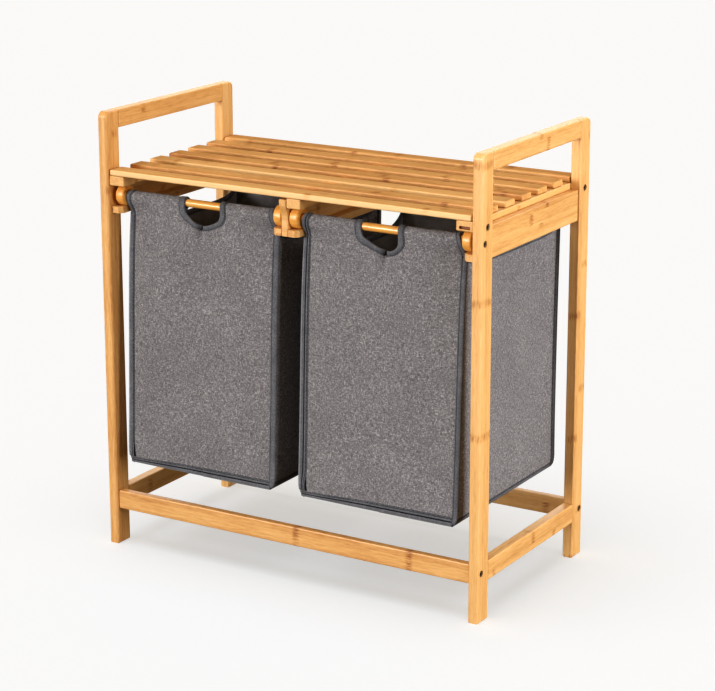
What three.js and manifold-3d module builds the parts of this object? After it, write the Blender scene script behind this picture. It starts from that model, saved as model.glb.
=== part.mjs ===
// Two-bag laundry sorter: a bamboo stand with a slatted shelf, under which two fabric bags
// hang on rods whose wooden discs roll in tracks. Millimetres, +Z up, front towards -Y,
// origin at the middle of the footprint on the floor.

import * as THREE from 'three';
import { RoundedBoxGeometry } from 'three/addons/geometries/RoundedBoxGeometry.js';
import { mergeVertices } from 'three/addons/utils/BufferGeometryUtils.js';
import Module from 'manifold-3d';

const wasm = await Module();
wasm.setup();

// ---------------------------------------------------------------- driving dimensions
const WIDTH = 640;             // over the legs, X
const DEPTH = 330;             // over the legs, Y
const HEIGHT = 670;            // floor to the top of the handles

const GAP = 0.3;               // clearance between two pieces that touch
const EASE = 1.6;              // radius worked on the edges of the boards

const LEG_THICK = 16;          // X
const LEG_DEEP = 30;           // Y
const LEG_CORNER = 9;          // radius of the outer top corner

const HANDLE_HIGH = 27;
const LOW_RAIL_Z = [57, 86];   // bottom and top of all four low rails
const CROSS_RAIL_THICK = 12;
const CROSS_RAIL_INSET = 3;    // behind the legs' outer faces
const SIDE_RAIL_Z = [521, 567];
const SIDE_RAIL_INSET = 3;

const SLAT_COUNT = 7;
const SLAT_WIDE = 28.5;
const SLAT_THICK = 9;
const SHELF_TOP = 585;
const SLAT_END_GAP = 2;        // between a slat's end and the leg
const SHELF_INSET = 1.5;       // first slat behind the legs' front faces

const BATTEN_WIDE = 26;
const MIDDLE_BATTEN_WIDE = 23;
const BATTEN_INSET = 2.5;
const BATTEN_BOTTOM = 561;
const SLOT_WIDE = 17;          // blind slot in the right batten's front end
const SLOT_Z = [564, 568.5];
const SLOT_DEEP = 4;
const SLOT_FROM_LEG = 4;

const WEB_THICK = 11;
const WEB_TOP_DROP = 2.5;      // between the web and the slats
const WEB_NECK = 6.5;          // how far the web's ends draw in below its top
const TRACK_THICK = 10;
const TRACK_TOP = 529;
const TRACK_INSET = 7;
const OUTER_TRACK_WIDE = 17;
const INNER_TRACK_WIDE = 16;
const TRACK_CHAMFER = 5.5;

const DISC_RADIUS = 15.5;
const DISC_THICK = 14;
const DISC_ROUND = 2.6;
const DISC_BORE_DEEP = 10;
const ROD_RADIUS = 6;
const ROD_Y = 142;             // rod axes stand at -ROD_Y and +ROD_Y
const RUNNING_GAP = 0.4;       // disc above its track, sleeve round its rod
const ROLLER_SIDES = 32;
const ROD_SIDES = 24;

const BAG_X = 152;             // bag centres stand at -BAG_X and +BAG_X
const BAG_WIDE = 259;
const BAG_BOTTOM = 137;
const BAG_FRONT_LOW = -158.5;  // the front face leans out towards the floor
const BAG_BACK_LOW = 144;
const CLOTH = 2;
const SLEEVE_WALL = 1.3;
const BAG_SIDE_TOP = 515;      // side panel at its two ends
const BAG_SIDE_SAG = 14;       // and how far its top edge hangs in the middle
const NOTCH_WIDE = 60;
const NOTCH_BOTTOM = 514;
const NOTCH_CORNER = 18;
const NOTCH_OFF_CENTRE = 3;

const BOLT_HEAD_RADIUS = 4.6;
const BOLT_HEAD_LONG = 4;
const BOLT_SHANK_RADIUS = 2.5;
const BOLT_SUNK = 1;           // head below the wood's surface
const SOCKET_RADIUS = 2.4;
const SOCKET_DEEP = 2.4;
const BOLT_SIDES = 16;
// Bolts of one side frame: place, shank length and the piece that the shank enters behind the leg.
const BOLTS = [
  { y: -150, z: 568, shank: 32, into: 'batten' },
  { y: -157, z: 546, shank: 9, into: null },
  { y: -156, z: 73, shank: 34, into: 'front_cross_rail' },
  { y: 150, z: 568, shank: 32, into: 'batten' },
  { y: 156, z: 73, shank: 34, into: 'rear_cross_rail' },
];

// ---------------------------------------------------------------- worked-out places
const LEG_OUT = WIDTH / 2;
const LEG_IN = LEG_OUT - LEG_THICK;
const LEG_FRONT = DEPTH / 2;
const LEG_BACK = LEG_FRONT - LEG_DEEP;
const SLAT_BOTTOM = SHELF_TOP - SLAT_THICK;
const SLAT_PITCH = (DEPTH - 2 * SHELF_INSET - SLAT_WIDE) / (SLAT_COUNT - 1);
const BATTEN_TOP = SLAT_BOTTOM - GAP;
const TRACK_BOTTOM = TRACK_TOP - TRACK_THICK;
const ROD_Z = TRACK_TOP + RUNNING_GAP + DISC_RADIUS;
const SLEEVE_INNER = ROD_RADIUS + RUNNING_GAP;
const SLEEVE_OUTER = SLEEVE_INNER + SLEEVE_WALL;
const DISC_GAP = 1;            // disc beside the web and beside the bag
const DISC_INNER_X = WEB_THICK / 2 + DISC_GAP;
const DISC_OUTER_X = 2 * BAG_X - DISC_INNER_X;

// ---------------------------------------------------------------- materials
const bamboo = (color) => new THREE.MeshStandardMaterial({ color, roughness: 0.5, metalness: 0 });
const cloth = (color) => new THREE.MeshStandardMaterial({ color, roughness: 0.95, metalness: 0 });
const FINISH = {
  frame: () => bamboo(0xe0a860),
  shelf: () => bamboo(0xd9a46a),
  roller: () => bamboo(0xdf9c45),
  bag: () => cloth(0x726e6d),
  bolt: () => new THREE.MeshStandardMaterial({ color: 0x55504a, roughness: 0.4, metalness: 0.9 }),
};

const sorter = new THREE.Group();

// ---------------------------------------------------------------- solids and booleans
// One closed body: shared vertices merged, faces turned outwards.
function closed(geometry) {
  const bare = geometry.clone();
  for (const name of Object.keys(bare.attributes)) {
    if (name !== 'position') bare.deleteAttribute(name);
  }
  bare.clearGroups();
  const merged = mergeVertices(bare, 1e-4);
  if (signedVolume(merged) < 0) {
    const index = merged.index.array;
    for (let i = 0; i < index.length; i += 3) {
      [index[i + 1], index[i + 2]] = [index[i + 2], index[i + 1]];
    }
  }
  return merged;
}

function signedVolume(geometry) {
  const corner = [new THREE.Vector3(), new THREE.Vector3(), new THREE.Vector3()];
  const { index, attributes } = geometry;
  let sum = 0;
  for (let i = 0; i < index.count; i += 3) {
    corner.forEach((p, k) => p.fromBufferAttribute(attributes.position, index.getX(i + k)));
    sum += corner[0].dot(corner[1].clone().cross(corner[2]));
  }
  return sum / 6;
}

function toManifold(geometry) {
  const solid = closed(geometry);
  return new wasm.Manifold(new wasm.Mesh({
    numProp: 3,
    vertProperties: Float32Array.from(solid.attributes.position.array),
    triVerts: Uint32Array.from(solid.index.array),
  }));
}

function toGeometry(manifold) {
  const mesh = manifold.getMesh();
  const geometry = new THREE.BufferGeometry();
  geometry.setAttribute('position', new THREE.BufferAttribute(mesh.vertProperties, 3));
  geometry.setIndex(new THREE.BufferAttribute(mesh.triVerts, 1));
  return geometry;
}

function cut(geometry, tools) {
  let body = toManifold(geometry);
  for (const tool of tools) body = body.subtract(toManifold(tool));
  return toGeometry(body);
}

function join(first, ...others) {
  let body = toManifold(first);
  for (const other of others) body = body.add(toManifold(other));
  return toGeometry(body);
}

function add(name, geometry, finish) {
  const solid = closed(geometry);
  solid.computeVertexNormals();
  const mesh = new THREE.Mesh(solid, FINISH[finish]());
  mesh.name = name;
  sorter.add(mesh);
}

// ---------------------------------------------------------------- shapes
// A board between two corners, with eased edges.
function board([x0, x1], [y0, y1], [z0, z1], ease = EASE) {
  const geometry = new RoundedBoxGeometry(x1 - x0, y1 - y0, z1 - z0, 1, ease);
  return geometry.translate((x0 + x1) / 2, (y0 + y1) / 2, (z0 + z1) / 2);
}

// A round bar along X.
function bar(radius, [x0, x1], y, z, sides) {
  const geometry = new THREE.CylinderGeometry(radius, radius, x1 - x0, sides);
  return geometry.rotateZ(Math.PI / 2).translate((x0 + x1) / 2, y, z);
}

// An outline drawn in Y and Z, extruded along X from x0 to x1.
function alongX(shape, [x0, x1], ease = 0) {
  const geometry = new THREE.ExtrudeGeometry(shape, {
    depth: x1 - x0 - 2 * ease,
    bevelEnabled: ease > 0,
    bevelThickness: ease,
    bevelSize: ease,
    bevelOffset: -ease,
    bevelSegments: 1,
    curveSegments: 6,
  });
  geometry.translate(0, 0, ease);
  // Extrusion runs along local Z and the outline lies in local X, Y: turn to Y, Z and X.
  const turn = new THREE.Matrix4().set(
    0, 0, 1, x0,
    1, 0, 0, 0,
    0, 1, 0, 0,
    0, 0, 0, 1,
  );
  return geometry.applyMatrix4(turn);
}

function outline(points) {
  return new THREE.Shape(points.map(([u, v]) => new THREE.Vector2(u, v)));
}

const span = (side, near, far) => (side > 0 ? [near, far] : [-far, -near]);

// ---------------------------------------------------------------- bolts
// A socket-head bolt that enters a leg from outside; side is -1 left or +1 right.
function bolt(side, { y, z, shank }) {
  const face = LEG_OUT - BOLT_SUNK;
  const neck = face - BOLT_HEAD_LONG;
  const stem = bar(BOLT_SHANK_RADIUS, span(side, neck - shank, neck + 1), y, z, BOLT_SIDES);
  const head = bar(BOLT_HEAD_RADIUS, span(side, neck, face), y, z, BOLT_SIDES);
  const socket = bar(SOCKET_RADIUS, span(side, face - SOCKET_DEEP, face + 1), y, z, 6);
  return cut(join(head, stem), [socket]);
}

// The room that a bolt needs in the wood round it.
function boltHole(side, { y, z, shank }) {
  const neck = LEG_OUT - BOLT_SUNK - BOLT_HEAD_LONG;
  const clear = GAP + 0.1;
  const wide = span(side, neck - clear, LEG_OUT + 5);
  const deep = span(side, neck - shank - clear, LEG_OUT);
  return join(
    bar(BOLT_HEAD_RADIUS + clear, wide, y, z, BOLT_SIDES),
    bar(BOLT_SHANK_RADIUS + clear, deep, y, z, BOLT_SIDES),
  );
}

const holesFor = (side, piece) =>
  BOLTS.filter((place) => place.into === piece).map((place) => boltHole(side, place));

// ---------------------------------------------------------------- stand
function leg(side, front) {
  const [y0, y1] = front < 0 ? [-LEG_FRONT, -LEG_BACK] : [LEG_BACK, LEG_FRONT];
  const shape = new THREE.Shape();
  shape.moveTo(y0, 0);
  shape.lineTo(y1, 0);
  if (front < 0) {
    shape.lineTo(y1, HEIGHT);
    shape.lineTo(y0 + LEG_CORNER, HEIGHT);
    shape.absarc(y0 + LEG_CORNER, HEIGHT - LEG_CORNER, LEG_CORNER, Math.PI / 2, Math.PI);
  } else {
    shape.lineTo(y1, HEIGHT - LEG_CORNER);
    shape.absarc(y1 - LEG_CORNER, HEIGHT - LEG_CORNER, LEG_CORNER, 0, Math.PI / 2);
    shape.lineTo(y0, HEIGHT);
  }
  const holes = BOLTS.filter(({ y }) => Math.sign(y) === front).map((place) => boltHole(side, place));
  return cut(alongX(shape, span(side, LEG_IN, LEG_OUT), EASE), holes);
}

function makeStand() {
  const betweenLegs = [-LEG_BACK + GAP, LEG_BACK - GAP];
  for (const [side, hand] of [[-1, 'left'], [1, 'right']]) {
    add(`leg_front_${hand}`, leg(side, -1), 'frame');
    add(`leg_rear_${hand}`, leg(side, 1), 'frame');
    const flush = span(side, LEG_IN, LEG_OUT);
    add(`handle_rail_${hand}`, board(flush, betweenLegs, [HEIGHT - HANDLE_HIGH, HEIGHT]), 'frame');
    add(`side_rail_low_${hand}`, board(flush, betweenLegs, LOW_RAIL_Z), 'frame');
    const inset = span(side, LEG_IN, LEG_OUT - SIDE_RAIL_INSET);
    add(`side_rail_high_${hand}`, board(inset, betweenLegs, SIDE_RAIL_Z), 'frame');
  }
  const across = [-LEG_IN + GAP, LEG_IN - GAP];
  const outer = LEG_FRONT - CROSS_RAIL_INSET;
  const inner = outer - CROSS_RAIL_THICK;
  for (const [name, y] of [['front_cross_rail', [-outer, -inner]], ['rear_cross_rail', [inner, outer]]]) {
    add(name, cut(board(across, y, LOW_RAIL_Z), [...holesFor(-1, name), ...holesFor(1, name)]), 'frame');
  }
  for (const [side, hand] of [[-1, 'left'], [1, 'right']]) {
    BOLTS.forEach((place, i) => add(`bolt_${hand}_${i + 1}`, bolt(side, place), 'bolt'));
  }
}

// ---------------------------------------------------------------- shelf
// The blind slot's room: its right end is at right and it goes in from front.
function slot(right, front) {
  return board([right - SLOT_WIDE, right], [front - SLOT_DEEP, front + SLOT_DEEP], SLOT_Z, 1);
}

function makeShelf() {
  for (let i = 0; i < SLAT_COUNT; i += 1) {
    const y = -LEG_FRONT + SHELF_INSET + i * SLAT_PITCH;
    const x = LEG_IN - SLAT_END_GAP;
    add(`slat_${i + 1}`, board([-x, x], [y, y + SLAT_WIDE], [SLAT_BOTTOM, SHELF_TOP], 2), 'shelf');
  }
  const y = [-LEG_FRONT + BATTEN_INSET, LEG_FRONT - BATTEN_INSET];
  const z = [BATTEN_BOTTOM, BATTEN_TOP];
  for (const [side, hand] of [[-1, 'left'], [1, 'right']]) {
    const x = span(side, LEG_IN - GAP - BATTEN_WIDE, LEG_IN - GAP);
    const slots = side > 0 ? [slot(x[1] - SLOT_FROM_LEG, y[0])] : [];
    add(`batten_${hand}`, cut(board(x, y, z), [...holesFor(side, 'batten'), ...slots]), 'shelf');
  }
  const near = WEB_THICK / 2 + GAP;
  add('batten_middle', board([near, near + MIDDLE_BATTEN_WIDE], y, z), 'shelf');
}

// ---------------------------------------------------------------- tracks
// The web's ends are S-shaped: full length at the top, drawn in below.
function web() {
  const top = SLAT_BOTTOM - WEB_TOP_DROP;
  const full = LEG_FRONT - 0.5;
  const neck = full - WEB_NECK;
  const shoulder = top - 4;
  const waist = top - 30;
  const shape = new THREE.Shape();
  shape.moveTo(-neck, TRACK_BOTTOM);
  shape.lineTo(neck, TRACK_BOTTOM);
  shape.lineTo(neck, waist);
  shape.bezierCurveTo(neck, waist + 14, full, shoulder - 12, full, shoulder);
  shape.lineTo(full, top);
  shape.lineTo(-full, top);
  shape.lineTo(-full, shoulder);
  shape.bezierCurveTo(-full, shoulder - 12, -neck, waist + 14, -neck, waist);
  return alongX(shape, [-WEB_THICK / 2, WEB_THICK / 2], 1);
}

// A strip seen from above, its two corners on the bag's side cut off at 45 degrees.
// fixed is the X of the glued edge and free the X of the edge beside the bag.
function track(fixed, free) {
  const end = LEG_FRONT - TRACK_INSET;
  const chamfer = free > fixed ? TRACK_CHAMFER : -TRACK_CHAMFER;
  const shape = outline([
    [fixed, -end],
    [free - chamfer, -end],
    [free, -end + TRACK_CHAMFER],
    [free, end - TRACK_CHAMFER],
    [free - chamfer, end],
    [fixed, end],
  ]);
  const strip = new THREE.ExtrudeGeometry(shape, { depth: TRACK_THICK, bevelEnabled: false });
  return strip.translate(0, 0, TRACK_BOTTOM);
}

function makeTracks() {
  add('divider_web', web(), 'shelf');
  for (const [side, hand] of [[-1, 'left'], [1, 'right']]) {
    const wall = side * (LEG_IN - GAP);
    const middle = side * (WEB_THICK / 2 + GAP);
    add(`track_${hand}_outer`, track(wall, wall - side * OUTER_TRACK_WIDE), 'shelf');
    add(`track_${hand}_inner`, track(middle, middle + side * INNER_TRACK_WIDE), 'shelf');
  }
}

// ---------------------------------------------------------------- bags
// Y of the front panel's outer face at height z: it leans from the rod out to the bottom edge.
const FRONT_TOP_Y = -ROD_Y - SLEEVE_INNER + CLOTH;
const lean = (z) => BAG_FRONT_LOW + ((FRONT_TOP_Y - BAG_FRONT_LOW) * (z - BAG_BOTTOM)) / (ROD_Z - BAG_BOTTOM);
const BACK_TOP_Y = ROD_Y + SLEEVE_INNER - CLOTH;
const leanBack = (z) => BAG_BACK_LOW + ((BACK_TOP_Y - BAG_BACK_LOW) * (z - BAG_BOTTOM)) / (ROD_Z - BAG_BOTTOM);

// The cloth tunnel that a rod runs in.
function sleeve(x, y) {
  const tube = bar(SLEEVE_OUTER, x, y, ROD_Z, ROD_SIDES);
  return { tube, tunnel: bar(SLEEVE_INNER, [x[0] - 1, x[1] + 1], y, ROD_Z, ROD_SIDES) };
}

function notch(centre) {
  const half = NOTCH_WIDE / 2;
  const shape = new THREE.Shape();
  const top = ROD_Z + 2 * SLEEVE_OUTER;
  shape.moveTo(centre - half, top);
  shape.lineTo(centre - half, NOTCH_BOTTOM + NOTCH_CORNER);
  shape.absarc(centre - half + NOTCH_CORNER, NOTCH_BOTTOM + NOTCH_CORNER, NOTCH_CORNER,
    Math.PI, 1.5 * Math.PI);
  shape.absarc(centre + half - NOTCH_CORNER, NOTCH_BOTTOM + NOTCH_CORNER, NOTCH_CORNER,
    1.5 * Math.PI, 2 * Math.PI);
  shape.lineTo(centre + half, top);
  const deep = 40;
  const geometry = new THREE.ExtrudeGeometry(shape, { depth: deep, bevelEnabled: false, curveSegments: 6 });
  return geometry.rotateX(Math.PI / 2).translate(0, -ROD_Y + deep / 2, 0);
}

function panelWithSleeve(x, outerY, inward, rodY, cuts) {
  const plate = alongX(outline([
    [outerY(BAG_BOTTOM), BAG_BOTTOM],
    [outerY(BAG_BOTTOM) + inward * CLOTH, BAG_BOTTOM],
    [outerY(ROD_Z) + inward * CLOTH, ROD_Z],
    [outerY(ROD_Z), ROD_Z],
  ]), x);
  const { tube, tunnel } = sleeve(x, rodY);
  return cut(join(plate, tube), [tunnel, ...cuts]);
}

function sidePanel(x) {
  const front = (z) => lean(z) + CLOTH + GAP;
  const back = (z) => leanBack(z) - CLOTH - GAP;
  const shape = new THREE.Shape();
  shape.moveTo(front(BAG_BOTTOM), BAG_BOTTOM);
  shape.lineTo(back(BAG_BOTTOM), BAG_BOTTOM);
  shape.lineTo(back(BAG_SIDE_TOP), BAG_SIDE_TOP);
  shape.quadraticCurveTo(0, BAG_SIDE_TOP - 2 * BAG_SIDE_SAG, front(BAG_SIDE_TOP), BAG_SIDE_TOP);
  return alongX(shape, x);
}

// The bag's floor, between its four walls.
function bottomPanel([x0, x1]) {
  const y0 = lean(BAG_BOTTOM) + CLOTH + 2 * GAP;
  const y1 = leanBack(BAG_BOTTOM) - CLOTH - 2 * GAP;
  const geometry = new THREE.BoxGeometry(x1 - x0, y1 - y0, CLOTH);
  return geometry.translate((x0 + x1) / 2, (y0 + y1) / 2, BAG_BOTTOM + CLOTH / 2);
}

function makeBag(side, hand) {
  const centre = side * BAG_X;
  const x = [centre - BAG_WIDE / 2, centre + BAG_WIDE / 2];
  const hole = notch(centre + NOTCH_OFF_CENTRE);
  add(`${hand}_bag_front_panel`, panelWithSleeve(x, lean, 1, -ROD_Y, [hole]), 'bag');
  add(`${hand}_bag_back_panel`, panelWithSleeve(x, leanBack, -1, ROD_Y, []), 'bag');
  add(`${hand}_bag_side_left`, sidePanel([x[0], x[0] + CLOTH]), 'bag');
  add(`${hand}_bag_side_right`, sidePanel([x[1] - CLOTH, x[1]]), 'bag');
  const inside = [x[0] + CLOTH + GAP, x[1] - CLOTH - GAP];
  add(`${hand}_bag_bottom`, bottomPanel(inside), 'bag');
}

// ---------------------------------------------------------------- rollers
// A disc with rounded rims; its blind bore opens towards -Y of the lathe.
function disc() {
  const arc = (centreY, from) => [0, 1, 2].map((i) => {
    const angle = from + (i * Math.PI) / 4;
    const r = DISC_RADIUS - DISC_ROUND + DISC_ROUND * Math.cos(angle);
    return new THREE.Vector2(r, centreY + DISC_ROUND * Math.sin(angle));
  });
  const bore = ROD_RADIUS + GAP;
  const profile = [
    new THREE.Vector2(0, DISC_BORE_DEEP),
    new THREE.Vector2(bore, DISC_BORE_DEEP),
    new THREE.Vector2(bore, 0),
    ...arc(DISC_ROUND, -Math.PI / 2),
    ...arc(DISC_THICK - DISC_ROUND, 0),
    new THREE.Vector2(0, DISC_THICK),
  ];
  return new THREE.LatheGeometry(profile, ROLLER_SIDES);
}

function makeRoller(side, hand, end) {
  const y = end === 'front' ? -ROD_Y : ROD_Y;
  const near = side * DISC_INNER_X;
  const far = side * DISC_OUTER_X;
  const [left, right] = side > 0 ? [near, far] : [far, near];
  const inset = DISC_THICK - DISC_BORE_DEEP + GAP;
  add(`${hand}_${end}_rod`, bar(ROD_RADIUS, [left + inset, right - inset], y, ROD_Z, ROD_SIDES), 'roller');
  // The bore of each disc faces the other disc.
  add(`${hand}_${end}_disc_left`, disc().rotateZ(Math.PI / 2).translate(left + DISC_THICK, y, ROD_Z), 'roller');
  add(`${hand}_${end}_disc_right`, disc().rotateZ(-Math.PI / 2).translate(right - DISC_THICK, y, ROD_Z), 'roller');
}

makeStand();
makeShelf();
makeTracks();
for (const [side, hand] of [[-1, 'left'], [1, 'right']]) {
  makeBag(side, hand);
  makeRoller(side, hand, 'front');
  makeRoller(side, hand, 'rear');
}

export default sorter;
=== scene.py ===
import math

import bmesh
import bpy
from mathutils import Matrix, Vector, noise


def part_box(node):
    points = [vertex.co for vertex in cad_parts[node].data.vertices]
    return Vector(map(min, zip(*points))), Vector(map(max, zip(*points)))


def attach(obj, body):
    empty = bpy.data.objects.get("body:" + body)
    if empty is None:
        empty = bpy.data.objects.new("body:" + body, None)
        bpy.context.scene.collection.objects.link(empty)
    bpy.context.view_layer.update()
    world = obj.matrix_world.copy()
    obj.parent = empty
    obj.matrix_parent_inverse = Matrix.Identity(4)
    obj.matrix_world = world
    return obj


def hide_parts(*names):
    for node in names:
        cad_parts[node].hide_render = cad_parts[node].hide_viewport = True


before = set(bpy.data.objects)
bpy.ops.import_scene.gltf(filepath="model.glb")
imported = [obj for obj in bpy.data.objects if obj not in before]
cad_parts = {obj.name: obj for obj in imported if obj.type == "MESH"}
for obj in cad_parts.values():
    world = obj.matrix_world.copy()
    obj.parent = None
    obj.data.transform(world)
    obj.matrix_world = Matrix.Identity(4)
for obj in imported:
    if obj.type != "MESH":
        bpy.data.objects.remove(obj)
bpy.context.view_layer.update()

MM = 0.001
HANDS = ("left", "right")

# ------------------------------------------------------------------ helpers
def add_object(name, data):
    thing = bpy.data.objects.new(name, data)
    bpy.context.scene.collection.objects.link(thing)
    return thing


class Nodes:
    """Short ways to add and join shader nodes."""

    def __init__(self, tree):
        self.nodes, self.links = tree.nodes, tree.links

    def put(self, kind, **values):
        node = self.nodes.new(kind)
        for key, value in values.items():
            setattr(node, key, value)
        return node

    def feed(self, socket, value):
        if isinstance(value, bpy.types.NodeSocket):
            self.links.new(value, socket)
        else:
            socket.default_value = value

    def math(self, operation, a, b=0.0, c=None):
        node = self.put("ShaderNodeMath", operation=operation)
        self.feed(node.inputs[0], a)
        self.feed(node.inputs[1], b)
        if c is not None:
            self.feed(node.inputs[2], c)
        return node.outputs[0]

    def mix(self, factor, a, b):
        node = self.put("ShaderNodeMix", data_type="RGBA")
        self.feed(node.inputs[0], factor)
        self.feed(node.inputs[6], a)
        self.feed(node.inputs[7], b)
        return node.outputs[2]

    def place(self):
        """The object's own X, Y and Z."""
        split = self.put("ShaderNodeSeparateXYZ")
        self.links.new(self.put("ShaderNodeTexCoord").outputs["Object"], split.inputs[0])
        return split.outputs[0], split.outputs[1], split.outputs[2]

    def join(self, x, y, z):
        node = self.put("ShaderNodeCombineXYZ")
        for socket, value in zip(node.inputs, (x, y, z)):
            self.feed(socket, value)
        return node.outputs[0]

    def noise(self, xyz, scales, detail=2.0, roughness=0.5):
        """Noise drawn out by a scale of its own along each axis, in features a metre."""
        vector = self.join(*(self.math("MULTIPLY", v, s) for v, s in zip(xyz, scales)))
        node = self.put("ShaderNodeTexNoise")
        self.links.new(vector, node.inputs["Vector"])
        node.inputs["Scale"].default_value = 1.0
        node.inputs["Detail"].default_value = detail
        node.inputs["Roughness"].default_value = roughness
        return node.outputs[0]

    def ramp(self, value, stops):
        node = self.put("ShaderNodeValToRGB")
        self.links.new(value, node.inputs[0])
        ramp = node.color_ramp
        while len(ramp.elements) < len(stops):
            ramp.elements.new(0.5)
        for element, (at, colour) in zip(ramp.elements, stops):
            element.position = at
            element.color = (*colour, 1)
        return node.outputs[0]

    def step(self, value, low, high):
        node = self.put("ShaderNodeMapRange", interpolation_type="SMOOTHSTEP")
        self.links.new(value, node.inputs[0])
        node.inputs[1].default_value = low
        node.inputs[2].default_value = high
        return node.outputs[0]

    def bump(self, shader, height, strength, distance):
        node = self.put("ShaderNodeBump")
        node.inputs["Strength"].default_value = strength
        node.inputs["Distance"].default_value = distance
        self.links.new(height, node.inputs["Height"])
        self.links.new(node.outputs[0], shader.inputs["Normal"])


def new_material(name):
    material = bpy.data.materials.new(name)
    material.use_nodes = True
    return material, Nodes(material.node_tree), material.node_tree.nodes["Principled BSDF"]


def set_inputs(shader, **values):
    """Constants on the shader's sockets, named as on the node with _ for a space."""
    for key, value in values.items():
        shader.inputs[key.replace("_", " ")].default_value = value


def srgb(r, g, b):
    """A colour given as 0-255 display values, as the shader wants it."""
    return tuple(((c / 255 + 0.055) / 1.055) ** 2.4 if c > 10 else c / 255 / 12.92 for c in (r, g, b))


# ------------------------------------------------------------------ camera, light and floor
CAMERA_AT = Vector((1.7278, -2.8230, 1.2609))   # fitted to the frame's corners in the photo
CAMERA_AZIMUTH = 31.10            # degrees to the right of straight ahead
CAMERA_DOWN = 14.98
CAMERA_ROLL = -0.10
CAMERA_LENS = 116.0
CAMERA_SHIFT = -0.05
EXPOSURE = -0.3
BACKDROP = 0.79                   # brightness of the empty background
FILL = 0.30                       # light from all round
FILL_TINT = (1.16, 0.82, 0.46)
LIT_HEIGHT = 0.34                 # the middle of the object, which the soft box faces
FLOOR_HALF = 14.0
FLOOR_GLOW = 0.51                 # the part of the floor's whiteness that no shadow takes away
FLOOR_TONE = (0.46, 0.53, 0.63)   # the part that depends on the light, cool because the light is warm
FLOOR_BOUNCE = 0.20               # how much of its light the floor throws back on the object


def make_camera():
    data = bpy.data.cameras.new("camera")
    data.sensor_width = 36.0
    data.lens = CAMERA_LENS
    data.shift_y = CAMERA_SHIFT
    data.clip_end = 50.0
    camera = add_object("camera", data)
    turn = Matrix.Rotation(math.radians(CAMERA_AZIMUTH), 4, "Z")
    tilt = Matrix.Rotation(math.radians(90 - CAMERA_DOWN), 4, "X")
    roll = Matrix.Rotation(math.radians(CAMERA_ROLL), 4, "Z")
    camera.matrix_world = Matrix.Translation(CAMERA_AT) @ turn @ tilt @ roll
    bpy.context.scene.camera = camera


def towards(azimuth, elevation):
    """Azimuth 0 is in front of the object and 90 to its right."""
    a, e = math.radians(azimuth), math.radians(elevation)
    return Vector((math.sin(a) * math.cos(e), -math.cos(a) * math.cos(e), math.sin(e)))


def place_light(name, data, place, direction):
    light = add_object(name, data)
    light.location = place
    light.rotation_mode = "QUATERNION"
    light.rotation_quaternion = direction.to_track_quat("-Z", "Y")
    return light


def soft_sun(name, azimuth, elevation, strength, spread):
    """A large soft lamp, far away."""
    data = bpy.data.lights.new(name, "SUN")
    data.energy = strength
    data.angle = math.radians(spread)
    away = towards(azimuth, elevation)
    return place_light(name, data, away * 4, -away)


def soft_box(name, azimuth, elevation, distance, size, watts):
    """A lit panel near the object, which fades across it."""
    data = bpy.data.lights.new(name, "AREA")
    data.energy = watts
    data.size = size
    away = towards(azimuth, elevation)
    light = place_light(name, data, away * distance + Vector((0, 0, LIT_HEIGHT)), -away)
    light.visible_camera = False
    return light


def keep_off(light, *objects):
    """The light passes these objects by: the floor, where it would throw a long shadow, or glossy tops."""
    spared = bpy.data.collections.new(f"{light.name}_spares")
    for spare in objects:
        spared.objects.link(spare)
    light.light_linking.receiver_collection = spared
    for member in spared.collection_objects:
        member.light_linking.link_state = "EXCLUDE"


def make_backdrop():
    scene = bpy.context.scene
    scene.view_settings.view_transform = "Standard"
    scene.view_settings.look = "High Contrast"
    scene.view_settings.exposure = EXPOSURE
    scene.world = bpy.data.worlds.new("studio")
    scene.world.use_nodes = True
    n = Nodes(scene.world.node_tree)
    background = n.nodes["Background"]
    # the backdrop is brighter to look at than the light that it gives the object
    seen = n.put("ShaderNodeLightPath").outputs["Is Camera Ray"]
    n.links.new(n.mix(seen, (*FILL_TINT, 1), (1, 1, 1, 1)), background.inputs["Color"])
    n.links.new(n.math("MULTIPLY_ADD", seen, BACKDROP - FILL, FILL), background.inputs["Strength"])


def make_floor():
    mesh = bpy.data.meshes.new("floor")
    corners = [(x * FLOOR_HALF, y * FLOOR_HALF, 0) for x, y in ((-1, -1), (1, -1), (1, 1), (-1, 1))]
    mesh.from_pydata(corners, [], [(0, 1, 2, 3)])
    floor = add_object("floor", mesh)
    floor.data.materials.append(floor_material())
    return floor


def make_studio():
    make_backdrop()
    floor = make_floor()
    slats = [node for name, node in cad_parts.items() if name.startswith("slat_")]
    keep_off(soft_sun("front_left", azimuth=-24, elevation=10, strength=2.6, spread=26), floor)
    keep_off(soft_box("right", azimuth=88, elevation=8, distance=3.2, size=1.9, watts=102), floor)
    soft_sun("above", azimuth=-10, elevation=80, strength=1.1, spread=50)
    keep_off(soft_sun("behind", azimuth=192, elevation=24, strength=1.3, spread=60), floor, *slats)


def floor_material():
    material, n, shader = new_material("floor_paper")
    # it looks white, but throws back only part of the light that reaches it
    seen = n.put("ShaderNodeLightPath").outputs["Is Camera Ray"]
    n.links.new(n.mix(seen, (*3 * (FLOOR_BOUNCE,), 1), (*FLOOR_TONE, 1)), shader.inputs["Base Color"])
    n.links.new(n.math("MULTIPLY", seen, FLOOR_GLOW), shader.inputs["Emission Strength"])
    set_inputs(shader, Emission_Color=(1, 1, 1, 1), Roughness=0.9, Specular_IOR_Level=0.1)
    return material


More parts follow.
